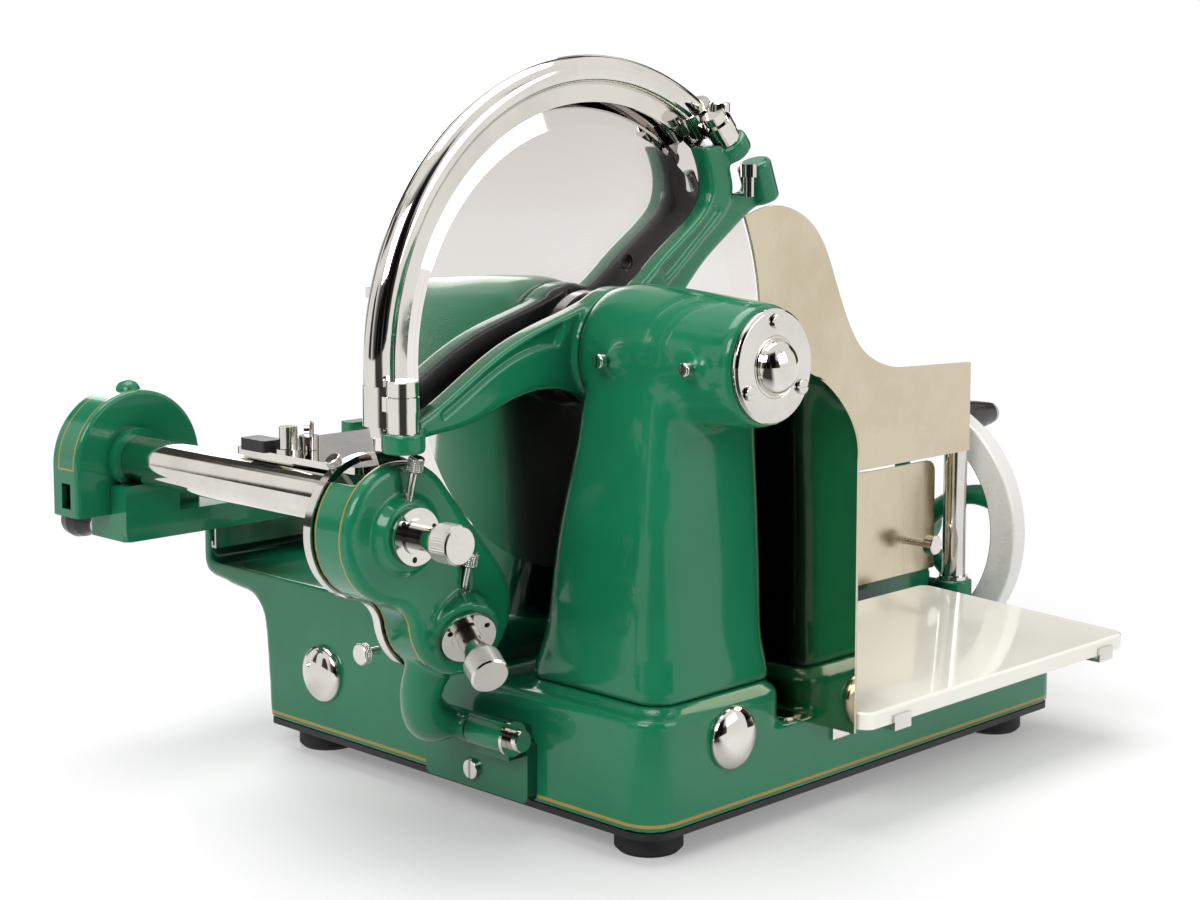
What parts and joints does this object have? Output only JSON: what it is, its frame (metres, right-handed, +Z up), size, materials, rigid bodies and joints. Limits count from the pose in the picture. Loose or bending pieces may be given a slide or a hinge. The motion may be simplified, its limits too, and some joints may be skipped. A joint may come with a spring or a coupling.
{
  "type": "meat slicer",
  "caption": "Hand cranked meat slicer with enamelled castings, guarded round blade on a column head, swing sharpener, reciprocating carriage and glass slice tray.",
  "frame": {"origin": "on the table top, under the middle of the front left foot; the blade's axis stands over x = 0.034, y = 0.091", "axes": "+Z up, +X along the carriage's cutting stroke towards the handwheel end, +Y towards the operator, the blade's edge lies in the plane y = 0.091"},
  "size_m": [0.7431, 0.4943, 0.4537],
  "materials": {
    "green": "gloss enamel",
    "nickel": "polished nickel",
    "steel": "satin",
    "blade_steel": "polished",
    "opal": "opaque cream, gloss",
    "rubber": "matte",
    "iron": "black",
    "brass": "satin",
    "wood": "gloss black",
    "stone": "matte vitrified abrasive"
  },
  "bodies": {
    "frame": {"base_casting": "green", "bottom_plate": "iron", "rubber_feet": "rubber", "oil_covers": "nickel", "column_head": "green", "head_cap": "nickel", "machine_screws": "nickel", "bearings": "brass", "guard_spider": "green", "guard_ring": "nickel", "guard_fasteners": "nickel", "slice_deflector": "nickel", "glass_tray": "opal", "tray_supports": "nickel", "splash_plate": "nickel", "gauge_way": "green", "drive_chain": "steel", "carriage_rail": "steel", "hinge_bracket": "green", "hinge_pin": "nickel"},
    "blade_body": {"blade": "blade_steel", "blade_arbor": "steel", "blade_nut": "nickel", "upper_sprocket": "steel"},
    "handwheel_body": {"handwheel": "green", "drive_shaft": "steel", "handle_spindle": "steel"},
    "grip_body": {"handle_grip": "wood"},
    "counter_body": {"counter_shaft": "steel"},
    "cross_body": {"cross_shaft": "steel", "lower_sprocket": "steel"},
    "gauge_body": {"gauge_plate": "nickel", "gauge_post": "nickel", "gauge_bracket": "green"},
    "dial_body": {"gauge_dial": "nickel"},
    "carriage_body": {"carriage_frame": "green", "carriage_guides": "steel", "feed_tube": "nickel", "feed_cover": "green", "feed_cover_plate": "green"},
    "feed_screw_body": {"feed_screw": "steel", "ratchet_wheel": "steel", "feed_crank": "nickel", "feed_crank_knob": "wood"},
    "pawl_body": {"ratchet_pawl": "steel"},
    "table_body": {"table_bracket": "green", "meat_table": "nickel", "feed_nut": "brass", "table_fittings": "nickel", "clamp_post": "nickel"},
    "wing_nut_body": {"wing_nut": "nickel"},
    "press_body": {"meat_press": "nickel"},
    "sharpener_body": {"sharpener_housing": "green", "sharpener_band": "nickel", "stone_flanges": "nickel", "sharpener_screws": "nickel"},
    "upper_knob_body": {"upper_stone_knob": "nickel"},
    "upper_stone_body": {"upper_stone": "stone"},
    "lower_knob_body": {"lower_stone_knob": "nickel"},
    "lower_stone_body": {"lower_stone": "stone"}
  },
  "joints": [
    {"name": "handwheel_spin", "type": "hinge", "parent": "frame", "child": "handwheel_body", "pos_m": [0.464, 0.166, 0.105], "axis": [1, 0, 0], "continuous": true},
    {"name": "grip_spin", "type": "hinge", "parent": "handwheel_body", "child": "grip_body", "pos_m": [0.494, 0.166, 0.179], "axis": [1, 0, 0], "continuous": true},
    {"name": "counter_spin", "type": "hinge", "parent": "frame", "child": "counter_body", "pos_m": [0.234, 0.166, 0.057], "axis": [1, 0, 0], "continuous": true},
    {"name": "cross_spin", "type": "hinge", "parent": "frame", "child": "cross_body", "pos_m": [0.034, 0.091, 0.057], "axis": [0, 1, 0], "continuous": true},
    {"name": "blade_spin", "type": "hinge", "parent": "frame", "child": "blade_body", "pos_m": [0.034, 0.091, 0.28], "axis": [0, 1, 0], "continuous": true},
    {"name": "gauge_slide", "type": "slide", "parent": "frame", "child": "gauge_body", "axis": [0, -1, 0], "range_m": [0, 0.012]},
    {"name": "gauge_dial_turn", "type": "hinge", "parent": "frame", "child": "dial_body", "pos_m": [0.44, 0.291, 0.063], "axis": [0, 1, 0], "range_deg": [0, 360]},
    {"name": "carriage_stroke", "type": "slide", "parent": "frame", "child": "carriage_body", "axis": [1, 0, 0], "range_m": [0, 0.24]},
    {"name": "table_feed", "type": "slide", "parent": "carriage_body", "child": "table_body", "axis": [0, 1, 0], "range_m": [0, 0.08]},
    {"name": "feed_screw_turn", "type": "hinge", "parent": "carriage_body", "child": "feed_screw_body", "pos_m": [-0.1194, 0.191, 0.2017], "axis": [0, 1, 0], "range_deg": [-3600, 0]},
    {"name": "pawl_swing", "type": "hinge", "parent": "carriage_body", "child": "pawl_body", "pos_m": [-0.0854, 0.341, 0.2117], "axis": [0, 1, 0], "range_deg": [-25, 0]},
    {"name": "wing_nut_turn", "type": "hinge", "parent": "table_body", "child": "wing_nut_body", "pos_m": [-0.099, 0.183, 0.222], "axis": [0, 0, 1], "range_deg": [0, 360]},
    {"name": "press_slide", "type": "slide", "parent": "table_body", "child": "press_body", "axis": [0, 0, -1], "range_m": [0, 0.07]},
    {"name": "sharpener_swing", "type": "hinge", "parent": "frame", "child": "sharpener_body", "pos_m": [-0.048, 0.091, 0.061], "axis": [0, 1, 0], "range_deg": [-20, 4]},
    {"name": "upper_stone_push", "type": "slide", "parent": "sharpener_body", "child": "upper_knob_body", "axis": [0, 1, 0], "range_m": [0, 0.008]},
    {"name": "upper_stone_spin", "type": "hinge", "parent": "upper_knob_body", "child": "upper_stone_body", "pos_m": [-0.122, 0.061, 0.19], "axis": [0, 1, 0], "continuous": true},
    {"name": "lower_stone_push", "type": "slide", "parent": "sharpener_body", "child": "lower_knob_body", "axis": [0.3186, 0.8572, 0.4047], "range_m": [0, 0.006]},
    {"name": "lower_stone_spin", "type": "hinge", "parent": "lower_knob_body", "child": "lower_stone_body", "pos_m": [-0.078, 0.075, 0.134], "axis": [0.3186, 0.8572, 0.4047], "continuous": true}
  ],
  "couplings": [
    {"joint": "counter_spin", "follows": "handwheel_spin", "ratio": -2},
    {"joint": "cross_spin", "follows": "handwheel_spin", "ratio": 3},
    {"joint": "blade_spin", "follows": "handwheel_spin", "ratio": 3.75},
    {"joint": "gauge_dial_turn", "follows": "gauge_slide", "rad_per_m": 523.6},
    {"joint": "feed_screw_turn", "follows": "table_feed", "rad_per_m": -785.4}
  ]
}
